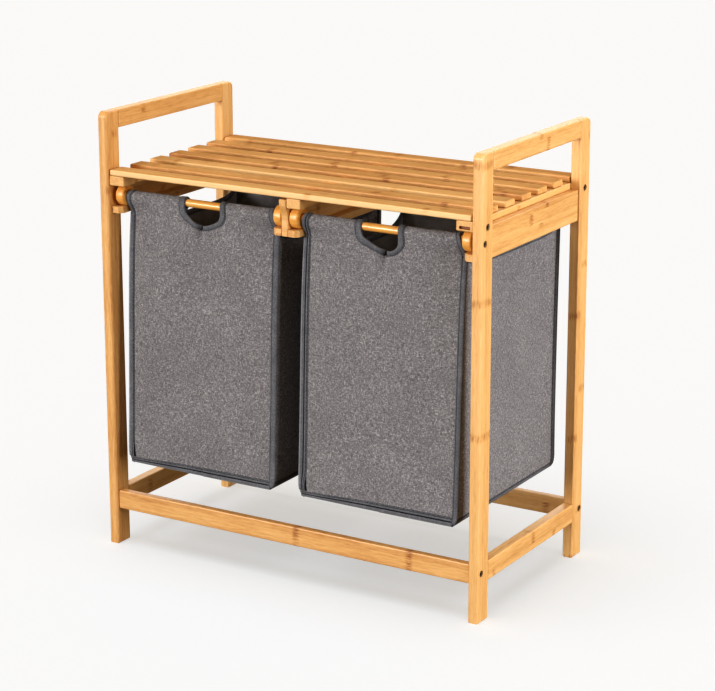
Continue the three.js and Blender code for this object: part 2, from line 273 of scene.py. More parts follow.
# ------------------------------------------------------------------ bamboo
PLAIN = [(0.15, srgb(140, 83, 38)), (0.36, srgb(196, 144, 88)), (0.55, srgb(223, 179, 120)),
         (0.80, srgb(234, 200, 150))]
VARNISHED = [(0.15, srgb(150, 80, 20)), (0.36, srgb(208, 142, 64)), (0.55, srgb(230, 172, 92)),
             (0.80, srgb(242, 200, 130))]
NODE_PITCH = 0.19            # between the marks of one strip
BOARD = 3.4                  # strips side by side that share a second shade
LAYER = 2.7                  # how much thicker than wide a strip is
# what the tables below give goes by how a node's name begins, or for the grain by what it holds
GRAIN = {"leg_": "Z", "handle_rail": "Y", "side_rail": "Y", "cross_rail": "X", "slat_": "X", "batten": "Y",
         "divider": "Y", "track": "Y"}
TONE = {"slat_1": 0.02, "slat_2": 0.0, "slat_3": 0.06, "slat_4": -0.08, "slat_5": 0.02, "slat_6": -0.03,
        "slat_7": -0.05, "leg_front_right": 0.04, "leg_front_left": -0.04, "leg_": 0.02, "front_cross": -0.03}
# Painted light: slat_1's front face is painted lighter, as if lit from the front, and the other slats' front
# faces darker, as painted shade from the slat in front.
FRONT_FACE_PAINTED_LIGHT = {"slat_1": 0.26, "slat_": -0.05}      # how much lighter the front faces are than the rest
# the blind slot in the front end of the right batten lies this far inside the batten's low and high corners;
# its inside is painted dark as shade
SLOT_INSIDE = Vector((0.001, 0.0012, 0.001)), Vector((0.001, 0.3, 0.001))


def bamboo(name, along, seed=0.0, tone=0.0, strip=5.5, shades=PLAIN, coat=0.15, face=0.0, hollow=None):
    """Laminated bamboo: strips side by side along one axis, fine fibres, and a node mark now and then.
    strip is a strip's width in millimetres and along the axis of the grain. tone lightens the whole piece.
    face paints light on its front face, or painted shade when below zero. hollow is a box, (low, high),
    inside which the colour is darkened as painted shade."""
    material, n, shader = new_material(name)
    xyz = n.place()
    order = {"X": (0, 1, 2), "Y": (1, 2, 0), "Z": (2, 0, 1)}[along]
    length, wide, high = (xyz[i] for i in order)

    # each strip of the lamination has a shade of its own
    def strip_value(pitch, salt):
        white = n.put("ShaderNodeTexWhiteNoise", noise_dimensions="3D")
        column = n.math("FLOOR", n.math("MULTIPLY_ADD", wide, 1000 / pitch, seed * 7.31))
        layer = n.math("FLOOR", n.math("MULTIPLY_ADD", high, 1000 / (pitch * LAYER), seed * 3.7))
        n.links.new(n.join(column, layer, salt + seed), white.inputs["Vector"])
        return white.outputs["Value"]

    own = strip_value(strip, 0.0)
    board = strip_value(strip * BOARD, 5.0)

    # fibres and slower streaks, drawn out along the grain
    shifted = n.math("ADD", length, n.math("MULTIPLY", own, 3.0))
    fibre = n.noise((length, wide, high), (55.0, 620.0, 620.0), 3.0, 0.65)
    streak = n.noise((shifted, wide, high), (7.0, 210.0, 210.0), 3.0, 0.6)
    cloud = n.noise((n.math("ADD", length, seed), wide, high), (9.0, 22.0, 22.0), 2.0, 0.5)

    # node marks: a small darker patch of short fibres across one strip, far apart
    cycle = n.math("FRACT", n.math("MULTIPLY_ADD", length, 1 / NODE_PITCH, n.math("MULTIPLY", board, 9.0)))
    off = n.math("ABSOLUTE", n.math("SUBTRACT", n.math("MULTIPLY_ADD", streak, 0.03, cycle), 0.5))
    band = n.math("SUBTRACT", 1.0, n.step(off, 0.006, 0.046))
    ragged = n.noise((length, wide, high), (75.0, 900.0, 900.0), 2.0, 0.6)
    band = n.math("MULTIPLY", band, n.step(ragged, 0.34, 0.62))
    chosen = n.step(n.noise((length, wide, high), (3.0, 14.0, 14.0), 0.0), 0.40, 0.52)
    band = n.math("MULTIPLY", band, chosen)

    shade = tone + 0.02
    for value, weight in ((streak, 0.28), (fibre, 0.42), (own, 0.09), (board, 0.08), (cloud, 0.16),
                          (band, -0.25)):
        shade = n.math("MULTIPLY_ADD", value, weight, shade)
    # painted light: faces turned to the front are lightened by face, or darkened as painted shade, in place
    # of how the front light falls on them
    if face:
        facing = n.put("ShaderNodeSeparateXYZ")
        n.links.new(n.put("ShaderNodeNewGeometry").outputs["Normal"], facing.inputs[0])
        painted_front_light = n.step(n.math("MULTIPLY", facing.outputs[1], -1.0), 0.4, 0.9)
        shade = n.math("MULTIPLY_ADD", painted_front_light, face, shade)
    # painted shade: the colour inside the box, the batten's slot, is darkened as the shade in that recess
    if hollow:
        in_painted_shade_box = 1.0
        for value, low, high in zip(xyz, *hollow):
            in_painted_shade_box = n.math("MULTIPLY", in_painted_shade_box, n.math("GREATER_THAN", value, low))
            in_painted_shade_box = n.math("MULTIPLY", in_painted_shade_box, n.math("LESS_THAN", value, high))
        shade = n.math("MULTIPLY_ADD", in_painted_shade_box, -0.8, shade)
    colour = n.ramp(shade, shades)
    n.links.new(colour, shader.inputs["Base Color"])
    n.links.new(n.math("MULTIPLY_ADD", streak, 0.18, 0.34), shader.inputs["Roughness"])
    set_inputs(shader, Specular_IOR_Level=0.45, Coat_Weight=coat, Coat_Roughness=0.22 if coat < 0.5 else 0.16)
    n.bump(shader, n.math("MULTIPLY_ADD", band, -0.8, fibre), 0.3, 0.00025)
    return material


def by_start(table, name):
    return next((value for key, value in table.items() if name.startswith(key)), 0.0)


def dress_wood():
    for i, (name, node) in enumerate(sorted(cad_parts.items())):
        axis = next((axis for key, axis in GRAIN.items() if key in name), None)
        if axis is None:
            continue
        slot = None
        if name == "batten_right":
            low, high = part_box(name)
            slot = (low + SLOT_INSIDE[0], high - SLOT_INSIDE[1])
        put_material(node, bamboo(f"bamboo_{name}", axis, seed=1.0 + 0.37 * i, tone=by_start(TONE, name),
                                  face=by_start(FRONT_FACE_PAINTED_LIGHT, name), hollow=slot))
        soften(node)


def put_material(piece, *materials):
    piece.data.materials.clear()
    for material in materials:
        piece.data.materials.append(material)


def soften(node):
    """Smooth shading on the rounded edges, with the large faces kept flat."""
    for face in node.data.polygons:
        face.use_smooth = True
    node.data.set_sharp_from_angle(angle=math.radians(50))
    weighted = node.modifiers.new("flat_faces_stay_flat", "WEIGHTED_NORMAL")
    weighted.keep_sharp = True
    weighted.weight = 100


# ------------------------------------------------------------------ bolts
def steel():
    material, n, shader = new_material("bolt_black_steel")
    xyz = n.place()
    wear = n.noise(xyz, (700.0, 700.0, 700.0), 3.0)
    colour = n.ramp(wear, [(0.35, srgb(120, 106, 88)), (0.7, srgb(186, 170, 146))])
    n.links.new(colour, shader.inputs["Base Color"])
    n.links.new(n.math("MULTIPLY_ADD", wear, 0.3, 0.25), shader.inputs["Roughness"])
    set_inputs(shader, Metallic=0.9)
    n.bump(shader, wear, 0.2, 0.0001)
    return material


def dress_bolts():
    material = steel()
    for name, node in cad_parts.items():
        if name.startswith("bolt_"):
            put_material(node, material)
            soften(node)


# ------------------------------------------------------------------ rollers
DISC_ROUND = 2.6 * MM
ROD_ROUND = 0.6 * MM
SIDES = 72
RIM_STEPS = 7


def mesh_piece(name, vertices, faces, materials, body):
    mesh = bpy.data.meshes.new(name)
    mesh.from_pydata([tuple(v) for v in vertices], [], faces)
    mesh.update()
    piece = add_object(name, mesh)
    for face in mesh.polygons:
        face.use_smooth = True
    put_material(piece, *materials)
    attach(piece, body)
    return piece


def lathe_x(profile, centre):
    """A closed body turned about the X line through centre. profile is (x, radius) from end to end,
    its first and last points on the axis."""
    vertices = [Vector((profile[0][0], *centre))]
    for x, radius in profile[1:-1]:
        for k in range(SIDES):
            turn = 2 * math.pi * k / SIDES
            y, z = centre[0] + radius * math.cos(turn), centre[1] + radius * math.sin(turn)
            vertices.append(Vector((x, y, z)))
    vertices.append(Vector((profile[-1][0], *centre)))
    faces = []
    rings = len(profile) - 2
    for k in range(SIDES):
        m = (k + 1) % SIDES
        faces.append((0, 1 + m, 1 + k))
        for r in range(rings - 1):
            a, b = 1 + r * SIDES, 1 + (r + 1) * SIDES
            faces.append((a + k, a + m, b + m, b + k))
        last = 1 + (rings - 1) * SIDES
        faces.append((last + k, last + m, len(vertices) - 1))
    return vertices, faces


def rounded_profile(x0, x1, radius, round_by):
    """A lathe profile from x0 to x1 with its two rims rounded."""
    quarter = [math.pi / 2 * k / RIM_STEPS for k in range(RIM_STEPS + 1)]
    inner = radius - round_by - 0.3 * MM
    points = [(x0, 0.0), (x0, inner * 0.5), (x0, inner)]
    points += [(x0 + round_by * (1 - math.cos(t)), radius - round_by * (1 - math.sin(t))) for t in quarter]
    points += [(x1 - round_by * (1 - math.sin(t)), radius - round_by * (1 - math.cos(t))) for t in quarter]
    return points + [(x1, inner), (x1, inner * 0.5), (x1, 0.0)]


def make_roller_part(body, node, is_rod):
    low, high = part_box(node)
    centre = ((low.y + high.y) / 2, (low.z + high.z) / 2)
    radius = (high.z - low.z) / 2
    profile = rounded_profile(low.x, high.x, radius, ROD_ROUND if is_rod else DISC_ROUND)
    vertices, faces = lathe_x(profile, centre)
    seed = len(node) + (low.x + centre[0]) * 31
    grain = bamboo(f"bamboo_{node}", "X" if is_rod else "Y", seed=seed, strip=4.0, shades=VARNISHED,
                   coat=0.9 if is_rod else 0.35)
    piece = mesh_piece(f"{node}_turned", vertices, faces, [grain], body)
    piece.data.set_sharp_from_angle(angle=math.radians(60))
    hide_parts(node)


def make_rollers():
    for hand in HANDS:
        for end in ("front", "rear"):
            for part in ("rod", "disc_left", "disc_right"):
                make_roller_part(f"{hand}_{end}_roller", f"{hand}_{end}_{part}", part == "rod")


# ------------------------------------------------------------------ cloth materials
WEAVE = 1.3 * MM             # from one thread of the melange to the next but one
RIB = 1.1 * MM               # from one rib of the tape to the next


def melange():
    """Coarse grey cloth of mixed light and dark yarns, a plain weave that shows close up."""
    material, n, shader = new_material("bag_melange")
    x, y, z = n.place()
    warp = n.noise((x, y, z), (620.0, 620.0, 250.0), 2.0, 0.6)
    weft = n.noise((x, y, z), (250.0, 250.0, 620.0), 2.0, 0.6)
    fleck = n.noise((x, y, z), (1100.0, 1100.0, 1100.0), 1.0)
    cloud = n.noise((x, y, z), (14.0, 14.0, 14.0), 2.0)
    yarn = n.math("MAXIMUM", warp, weft)
    shade = n.math("MULTIPLY_ADD", yarn, 1.35, -0.30)
    shade = n.math("MULTIPLY_ADD", fleck, 0.35, shade)
    shade = n.math("MULTIPLY_ADD", cloud, 0.10, shade)
    colour = n.ramp(shade, [
        (0.30, srgb(80, 79, 83)),
        (0.55, srgb(115, 114, 118)),
        (0.75, srgb(140, 139, 143)),
        (0.95, srgb(187, 186, 188)),
    ])
    n.links.new(colour, shader.inputs["Base Color"])
    pitch = 2 * math.pi / WEAVE
    over = n.math("SINE", n.math("MULTIPLY", n.math("ADD", x, y), pitch))
    under = n.math("SINE", n.math("MULTIPLY", z, pitch))
    threads = n.math("MULTIPLY", over, under)
    set_inputs(shader, Roughness=0.92, Specular_IOR_Level=0.2, Sheen_Weight=0.10, Sheen_Roughness=0.5)
    n.bump(shader, n.math("MULTIPLY_ADD", threads, 0.35, shade), 0.55, 0.0006)
    return material


def tape_cloth(name, *shades):
    """Slate grey binding tape with fine cross ribs. shades are its red values, dark to light."""
    material, n, shader = new_material(name)
    x, y, z = n.place()
    along = n.math("ADD", n.math("ADD", x, y), z)
    rib = n.math("SINE", n.math("MULTIPLY", along, 2 * math.pi / RIB))
    mottle = n.noise((x, y, z), (420.0, 420.0, 420.0), 2.0)
    wear = n.noise((x, y, z), (40.0, 40.0, 40.0), 3.0)
    shade = n.math("MULTIPLY_ADD", mottle, 0.6, n.math("MULTIPLY", wear, 0.4))
    stops = zip((0.3, 0.5, 0.72), shades)
    colour = n.ramp(shade, [(at, srgb(tone, tone + 2, tone + 8)) for at, tone in stops])
    n.links.new(colour, shader.inputs["Base Color"])
    set_inputs(shader, Roughness=0.8, Specular_IOR_Level=0.25, Sheen_Weight=0.15, Sheen_Roughness=0.4)
    n.bump(shader, n.math("MULTIPLY_ADD", rib, 0.25, mottle), 0.5, 0.0004)
    return material


def lining_cloth():
    """Grey coated lining, slightly crumpled. It is dark in the bag for want of light."""
    material, n, shader = new_material("bag_lining")
    xyz = n.place()
    crumple = n.noise(xyz, (30.0, 30.0, 45.0), 4.0, 0.6)
    grain = n.noise(xyz, (900.0, 900.0, 900.0), 1.0)
    colour = n.ramp(crumple, [(0.3, srgb(134, 134, 137)), (0.7, srgb(168, 168, 171))])
    n.links.new(colour, shader.inputs["Base Color"])
    n.links.new(n.math("MULTIPLY_ADD", grain, 0.2, 0.55), shader.inputs["Roughness"])
    set_inputs(shader, Specular_IOR_Level=0.3)
    n.bump(shader, n.math("MULTIPLY_ADD", grain, 0.1, crumple), 0.5, 0.004)
    return material


def thread():
    material, n, shader = new_material("sewing_thread")
    xyz = n.place()
    twist = n.noise(xyz, (2500.0, 2500.0, 2500.0), 1.0)
    colour = n.ramp(twist, [(0.35, srgb(58, 60, 66)), (0.65, srgb(92, 95, 102))])
    n.links.new(colour, shader.inputs["Base Color"])
    set_inputs(shader, Roughness=0.6)
    n.bump(shader, twist, 0.3, 0.0001)
    return material


# ------------------------------------------------------------------ bags
def curve_through(points):
    """A smooth function through (position, value) points, level past its ends."""
    slopes = []
    for i in range(len(points)):
        (a, fa), (b, fb) = points[max(i - 1, 0)], points[min(i + 1, len(points) - 1)]
        slopes.append((fb - fa) / (b - a))

    def value(s):
        if s <= points[0][0]:
            return points[0][1]
        if s >= points[-1][0]:
            return points[-1][1]
        i = next(k for k in range(len(points) - 1) if s <= points[k + 1][0])
        (a, fa), (b, fb) = points[i], points[i + 1]
        w = b - a
        t = (s - a) / w
        return ((2 * t**3 - 3 * t**2 + 1) * fa + (t**3 - 2 * t**2 + t) * w * slopes[i]
                + (3 * t**2 - 2 * t**3) * fb + (t**3 - t**2) * w * slopes[i + 1])

    return value


def clamp(t):
    return min(max(t, 0.0), 1.0)


def smooth(t):
    t = clamp(t)
    return t * t * (3 - 2 * t)


def lerp(a, b, t):
    return a + (b - a) * t


# Millimetres from here to the end of the bags. Heights are above the floor the stand is on.
CLOTH = 1.6
SLEEVE_PLAY = 0.5            # between the rod and the cloth
SEAM_TOP = 519.0             # where the side seams end and the sleeve begins
SLEEVE_SEAM = 527.0          # the sleeve's line of stitches
HEM = 5.5                    # of the sleeve's cloth below its stitches
LEAF_APART = 2.3             # between the middles of the sleeve's two leaves where they are sewn
CORNER_HIGH = 22.0           # how far up the bottom corners are rounded
CORNER_IN = 7.0
HANG_LOW = {-1: 160.0, 1: 144.5}   # how far out the front and back panels' bottom edges are
SAG = {"left": {-1: 24.0, 1: 18.0}, "right": {-1: 37.0, 1: 12.0}}   # of the side walls' top edges
RIPPLE_SEED = {"left": 3.1, "right": 8.7}
# Widths of the front vertical tapes.
BINDING = {("left", -1): 11.5, ("left", 1): 10.5, ("right", -1): 14.5, ("right", 1): 9.5}
# Y of the front and back vertical seams at a height: the sides pull them in near the top.
FRONT_SEAM = curve_through([(137, -159.5), (170, -158), (228, -155), (310, -151.5), (383, -148.5),
                            (460, -144), (519, -138)])
BACK_SEAM = curve_through([(137, 144), (170, 142.5), (237, 142), (380, 143.5), (519, 147)])
# How far a sleeve's free ends are from the bag's middle, by height.
SLEEVE_END = {
    ("left", -1): curve_through([(519, 130), (545, 130.5), (553, 127)]),
    ("left", 1): curve_through([(519, 129.5), (538, 128.3), (553, 126.3)]),
    ("right", -1): curve_through([(519, 128.5), (545, 127), (553, 125)]),
    ("right", 1): curve_through([(519, 130.5), (543, 127), (553, 123)]),
}
NOTCH_OFF_CENTRE = 3.0
# The pull notch's edge from its middle: (X, height), with the tape's join at its lowest point.
NOTCH = {
    "left": [(-30, 560), (-29.5, 541), (-27, 531), (-18.7, 523.6), (-10.8, 518.8), (-1.6, 514.4),
             (7.6, 515.6), (20.7, 519.6), (28.8, 524), (32.8, 529.5), (34, 537), (32.5, 560)],
    "right": [(-35.5, 560), (-34.5, 542), (-31.5, 532), (-23, 527.4), (-14.4, 523.2), (-7, 520.6),
              (-0.6, 517.6), (4, 514.6), (9, 515.2), (16.5, 516.9), (21.8, 520), (25.3, 524),
              (27.2, 529.5), (26.4, 537), (25, 560)],
}
NOTCH_CORNER = 525.0         # height where the notch's sides turn into its bottom
TAPE_JOIN = 6.0              # where the bottom tape's two ends overlap, from the bag's middle
CREASE_LONG = 42.0           # of the pinch below the join of the notch's tape
CREASE_DEEP, CREASE_WIDE = 5.6, 5.0
SWELL_HIGH, SWELL_WIDE, SWELL_AWAY = 2.0, 6, 12      # the cloth beside the pinch swells out
FRONT_TAPE_OVER = 2.4        # how far the front tapes reach past the edge
# The fold beside a front panel's left tape, low down: the tape's edge lifts, and its painted shade edge is
# stretched wide into a dark strip, painted shade for the gap there.
FOLD_FADES = (10, 30)        # from this height, over this length
FOLD_EDGE = 0.7              # the part of the tape that turns into the fold
FOLD_OPENS = 4.6             # how wide it opens
FOLD_TAKES = 0.42            # what part of the tape's width it takes
FOLD_LIFT = 1.3
COLUMNS = 64                 # squares of the cloth's grid across a panel
DEEP = 74                    # from front to back
ROWS = 96                    # up to the sleeve
SLEEVE_ROWS = 34             # round it
NOTCH_COLUMNS = (27, 39)     # those that the notch takes
NOTCH_EASE = 22              # rows below it in which the grid goes from even to following it


class Bag:
    """Where the cloth of one bag is. Panels are mapped from flat coordinates to places, in millimetres."""

    def __init__(self, hand):
        low, high = (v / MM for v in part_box(f"{hand}_bag_front_panel"))
        rod_low, rod_high = (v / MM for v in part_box(f"{hand}_front_rod"))
        self.hand = hand
        self.mid = (low.x + high.x) / 2
        self.half = (high.x - low.x) / 2
        self.bottom = low.z
        self.rod_y = -(rod_low.y + rod_high.y) / 2
        self.rod_z = (rod_low.z + rod_high.z) / 2
        self.around = (rod_high.z - rod_low.z) / 2 + SLEEVE_PLAY + CLOTH / 2
        self.seed = RIPPLE_SEED[hand]
        self.sag = SAG[hand]
        low_x, low_z = min(NOTCH[hand], key=lambda p: p[1])
        self.pinch = (self.mid + NOTCH_OFF_CENTRE + low_x, low_z)
        # the inner leaf of a sleeve: its slanting length
        self.slant = math.hypot(2 * self.around - LEAF_APART, self.rod_z - SLEEVE_SEAM)
        self.end = self.rod_z + math.pi * self.around + self.slant + HEM

    def half_width(self, z):
        """Of the walls, rounded in at the bottom corners."""
        t = max(0.0, 1 - (z - self.bottom) / CORNER_HIGH)
        return self.half - CORNER_IN * (1 - math.sqrt(max(0.0, 1 - t * t)))

    def edge_x(self, t, side):
        """X of a front or back panel's edge at the flat height t."""
        if t <= SEAM_TOP:
            return self.mid + side * self.half_width(t)
        crest = self.rod_z + math.pi * self.around / 2
        z = min(t, 2 * crest - t)
        return self.mid + side * SLEEVE_END[self.hand, side](z)

    def hang(self, z, end):
        """Y of the middle of the front (end -1) or back (end 1) panel at a height."""
        top = self.rod_y + self.around
        return end * lerp(HANG_LOW[end], top, clamp((z - self.bottom) / (self.rod_z - self.bottom)))

    def ripple(self, x, z, end):
        p = Vector((x / 95.0, z / 190.0, self.seed + end * 3))
        fine = Vector((x / 38.0, z / 75.0, self.seed * 2 + end))
        return 3.4 * noise.noise(p) + 1.1 * noise.noise(fine)

    def crease(self, x, z):
        """How far in the front panel is pinched below the join of the notch's tape."""
        at_x, at_z = self.pinch
        away = x - at_x
        fade = smooth(1 - (at_z - z) / CREASE_LONG)
        pinch = CREASE_DEEP * math.exp(-((away / CREASE_WIDE) ** 2))
        swell = SWELL_HIGH * math.exp(-(((abs(away) - SWELL_AWAY) / SWELL_WIDE) ** 2))
        return fade * (pinch - swell)

    def panel(self, x, t, end):
        """The front or back panel and its sleeve. t is the height, and past the rod's the length of cloth."""
        u = min(1.0, abs(x - self.mid) / self.half)
        if t <= self.rod_z:
            seam = (FRONT_SEAM if end < 0 else BACK_SEAM)(min(t, SEAM_TOP))
            pull = u**3 * (1 - smooth((t - SEAM_TOP) / (self.rod_z - SEAM_TOP - 2)))
            calm = (1 - u**6) * smooth((self.rod_z - t) / 70) * smooth((t - self.bottom) / 40)
            y = self.hang(t, end)
            y = lerp(y, seam, pull) + self.ripple(x, t, end) * calm
            if end < 0:
                y += self.crease(x, t)
            return Vector((x, y, t))
        s = t - self.rod_z
        if s <= math.pi * self.around:
            turn = s / self.around
            return Vector((x, end * (self.rod_y + self.around * math.cos(turn)),
                           self.rod_z + self.around * math.sin(turn)))
        # the inner leaf comes back to the panel, is sewn to it and ends in a hem
        s -= math.pi * self.around
        k = min(1.0, s / self.slant)
        z = lerp(self.rod_z, SLEEVE_SEAM, k) - max(0.0, s - self.slant)
        apart = lerp(2 * self.around, LEAF_APART, smooth(k * 1.15))
        return Vector((x, self.panel(x, z, end).y - end * apart, z))

    def side_top(self, v, side):
        # it falls slowly from the front seam and rises steeply to the back one
        power = 2.4 if v < 0.5 else 7.0
        return SEAM_TOP - self.sag[side] * (1 - abs(2 * v - 1) ** power)

    def side_wall(self, v, z, side):
        y0, y1 = FRONT_SEAM(z), BACK_SEAM(z)
        belly = math.sin(math.pi * v) * math.sin(math.pi * min(1.0, (z - self.bottom) / 400))
        wave = noise.noise(Vector((v * 4, z / 120.0, self.seed + side))) * math.sin(math.pi * v)
        inward = 2.6 * belly - 2.2 * wave * smooth((z - self.bottom) / 60)
        return Vector((self.mid + side * (self.half_width(min(z, SEAM_TOP)) - inward), lerp(y0, y1, v), z))

    def floor(self, u, v):
        y0, y1 = FRONT_SEAM(self.bottom), BACK_SEAM(self.bottom)
        sag = 3.5 * (1 - u * u) * (1 - (2 * v - 1) ** 2)
        return Vector((self.mid + u * self.half_width(self.bottom), lerp(y0, y1, v), self.bottom - sag))


def row_height(bag, i):
    return lerp(bag.bottom, SEAM_TOP, i / ROWS)


def notch_x(hand, t, side):
    """X of the notch's left (-1) or right (1) edge at the flat height t, from the notch's middle."""
    points = sorted((z, x) for x, z in NOTCH[hand] if x * side > 0)
    return curve_through(points)(t)


def notch_floor(hand, x):
    return curve_through([p for p in NOTCH[hand] if p[1] < 532])(x)


def panel_grid(bag, end):
    """Flat coordinates (x, t) of the front or back panel's grid. The front one goes round the notch."""
    first, last = NOTCH_COLUMNS
    corner_row = min(range(ROWS + 1), key=lambda i: abs(row_height(bag, i) - NOTCH_CORNER))
    grid = []
    heights = [row_height(bag, i) for i in range(ROWS + 1)]
    heights += [lerp(SEAM_TOP, bag.end, (k + 1) / SLEEVE_ROWS) for k in range(SLEEVE_ROWS)]
    centre = bag.mid + NOTCH_OFF_CENTRE
    for i, t in enumerate(heights):
        x0, x1 = bag.edge_x(t, -1), bag.edge_x(t, 1)
        even = [lerp(x0, x1, j / COLUMNS) for j in range(COLUMNS + 1)]
        if end > 0:
            grid.append([(x, t) for x in even])
            continue
        level = max(t, heights[corner_row])
        left, right = (centre + notch_x(bag.hand, level, side) for side in (-1, 1))
        split = []
        for j in range(COLUMNS + 1):
            if j <= first:
                split.append(lerp(x0, left, j / first))
            elif j >= last:
                split.append(lerp(right, x1, (j - last) / (COLUMNS - last)))
            else:
                split.append(lerp(left, right, (j - first) / (last - first)))
        near = smooth(1 - (corner_row - i) / NOTCH_EASE) if i < corner_row else 1.0
        row = []
        for j in range(COLUMNS + 1):
            x = lerp(even[j], split[j], near)
            drop = 0.0
            if first < j < last and i <= corner_row:
                drop = (heights[corner_row] - notch_floor(bag.hand, split[j] - centre)) * near
            row.append((x, t - drop))
        grid.append(row)
    return grid, corner_row


def cloth_piece(name, bag, patches, materials):
    """One mesh of several grids of points that share their seams, with the cloth's thickness."""
    mesh = bmesh.new()
    for points, holes in patches:
        rows = [[mesh.verts.new(p * MM) for p in row] for row in points]
        for i in range(len(rows) - 1):
            for j in range(len(rows[0]) - 1):
                if not holes(i, j):
                    mesh.faces.new((rows[i][j], rows[i][j + 1], rows[i + 1][j + 1], rows[i + 1][j]))
    loose = [v for v in mesh.verts if not v.link_faces]
    bmesh.ops.delete(mesh, geom=loose, context="VERTS")
    bmesh.ops.remove_doubles(mesh, verts=mesh.verts, dist=0.02 * MM)
    bmesh.ops.recalc_face_normals(mesh, faces=mesh.faces)
    data = bpy.data.meshes.new(name)
    mesh.to_mesh(data)
    mesh.free()
    piece = add_object(name, data)
    for face in data.polygons:
        face.use_smooth = True
    put_material(piece, *materials)
    thick = piece.modifiers.new("thickness", "SOLIDIFY")
    thick.thickness = CLOTH * MM
    thick.offset = 0
    thick.use_even_offset = False
    thick.material_offset = 1
    thick.material_offset_rim = 0
    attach(piece, f"{bag.hand}_bag")
    return piece


def make_shell(bag, materials):
    grid, corner_row = panel_grid(bag, -1)
    front = [[bag.panel(x, t, -1) for x, t in row] for row in grid]
    back = [[bag.panel(x, t, 1) for x, t in row] for row in panel_grid(bag, 1)[0]]
    first, last = NOTCH_COLUMNS

    def whole(i, j):
        return False

    patches = [(front, lambda i, j: i >= corner_row and first <= j < last), (back, whole)]
    for side in (-1, 1):
        wall = []
        for i in range(ROWS + 1):
            row = []
            for k in range(DEEP + 1):
                v = k / DEEP
                z = lerp(bag.bottom, bag.side_top(v, side), i / ROWS)
                row.append(bag.side_wall(v, z, side))
            wall.append(row)
        patches.append((wall, whole))
    floor = [[bag.floor(-1 + 2 * j / COLUMNS, k / DEEP) for j in range(COLUMNS + 1)] for k in range(DEEP + 1)]
    patches.append((floor, whole))
    return cloth_piece(f"{bag.hand}_bag_shell", bag, patches, materials)


# ---- binding tape: a folded strip over an edge of the cloth
# The tape's tones: its own cloth, a painted dark shade in its grooves and along its inner edge, and a painted
# highlight on outer edges that face the light.
BODY, GROOVE_PAINTED_SHADE, RIM_PAINTED_HIGHLIGHT = range(3)      # its materials
WIDE_TAPE = 12.0
STITCH = 3.4
STITCH_GAP = 0.8
THREAD = 0.42                     # half a stitch's thickness


def tape_section(width, thick, over, rim):
    """A tape's section from past the edge to its stitched side, as (inward, out, the tone up to the next
    point). A wide tape also has a groove along its middle, where the cloth under it ends. The grooves and the
    inner edge take the painted shade tone, and the outer edge the rim's tone, the painted highlight or plain
    tape."""
    half = thick / 2
    reach = width - over
    middle = []
    if width > WIDE_TAPE:
        middle = [(reach * 0.40, half * 1.1, GROOVE_PAINTED_SHADE), (reach * 0.46, half * 0.5, GROOVE_PAINTED_SHADE),
                  (reach * 0.54, half, BODY)]
    return [(-over, 0.0, rim), (-over + 0.3, half * 0.75, rim), (0.5, half * 1.05, BODY), *middle,
            (reach - 2.6, half * 0.98, GROOVE_PAINTED_SHADE), (reach - 2.0, half * 0.55, BODY),
            (reach - 1.4, half * 0.9, BODY), (reach - 0.5, half * 0.8, GROOVE_PAINTED_SHADE), (reach, 0.0, GROOVE_PAINTED_SHADE),
            (reach - 0.3, -half * 0.85, BODY), (reach * 0.5, -half, BODY), (-over + 0.3, -half * 0.75, BODY)]


def sweep(lay, stations, section):
    """A closed body of section carried along stations. lay(station, inward) gives a place and its normal."""
    vertices, faces = [], []
    for s in stations:
        for inward, out, _ in section:
            place, normal = lay(s, inward)
            vertices.append((place + normal * out) * MM)
    count = len(section)
    for i in range(len(stations) - 1):
        for k in range(count):
            m = (k + 1) % count
            faces.append((i * count + k, i * count + m, (i + 1) * count + m, (i + 1) * count + k))
    faces.append(tuple(range(count - 1, -1, -1)))
    faces.append(tuple((len(stations) - 1) * count + k for k in range(count)))
    return vertices, faces


def tape(name, bag, lay, stations, width=9.0, thick=3.6, over=1.6, stitches=None, rim=BODY):
    """A tape over an edge. It reaches past the edge by over, and its stitches are put into stitches."""
    section = tape_section(width, thick, over, rim)
    vertices, faces = sweep(lay, stations, section)
    # plain tape, the painted shade tone and the painted highlight tone, chosen face by face from the
    # section's tones
    materials = [CLOTHS[key] for key in ("tape", "groove", "rim")]
    piece = mesh_piece(name, vertices, faces, materials, f"{bag.hand}_bag")
    for face in piece.data.polygons:
        around = face.index % len(section)
        face.material_index = section[around][2] if face.index < len(faces) - 2 else BODY
    mesh = bmesh.new()
    mesh.from_mesh(piece.data)
    bmesh.ops.recalc_face_normals(mesh, faces=mesh.faces)
    mesh.to_mesh(piece.data)
    mesh.free()
    if stitches is not None:
        add_stitches(stitches, lay, stations, width - over - 1.9, thick / 2 * 0.8)
    return piece


def add_stitches(store, lay, stations, inward, out):
    """Short threads in a row along a tape, put into store as (vertices, faces)."""
    vertices, faces = store
    travelled, last, start = 0.0, None, None
    for s in stations:
        place, normal = lay(s, inward)
        place = place + normal * out
        if last is None:
            last, start = place, (place, normal)
            continue
        travelled += (place - last).length
        last = place
        if travelled >= STITCH + STITCH_GAP:
            a, b = start[0], lerp(start[0], place, STITCH / (STITCH + STITCH_GAP))
            along = (b - a).normalized()
            side = along.cross(normal).normalized()
            base = len(vertices)
            vertices.append(a * MM)
            for t in (0.25, 0.75):
                middle = lerp(a, b, t) + normal * 0.15
                for d in (side, normal, -side, -normal):
                    vertices.append((middle + d * THREAD) * MM)
            vertices.append(b * MM)
            for k in range(4):
                m = (k + 1) % 4
                faces.append((base, base + 1 + m, base + 1 + k))
                faces.append((base + 1 + k, base + 1 + m, base + 5 + m, base + 5 + k))
                faces.append((base + 5 + k, base + 5 + m, base + 9))
            travelled = 0.0
            start = (place, normal)


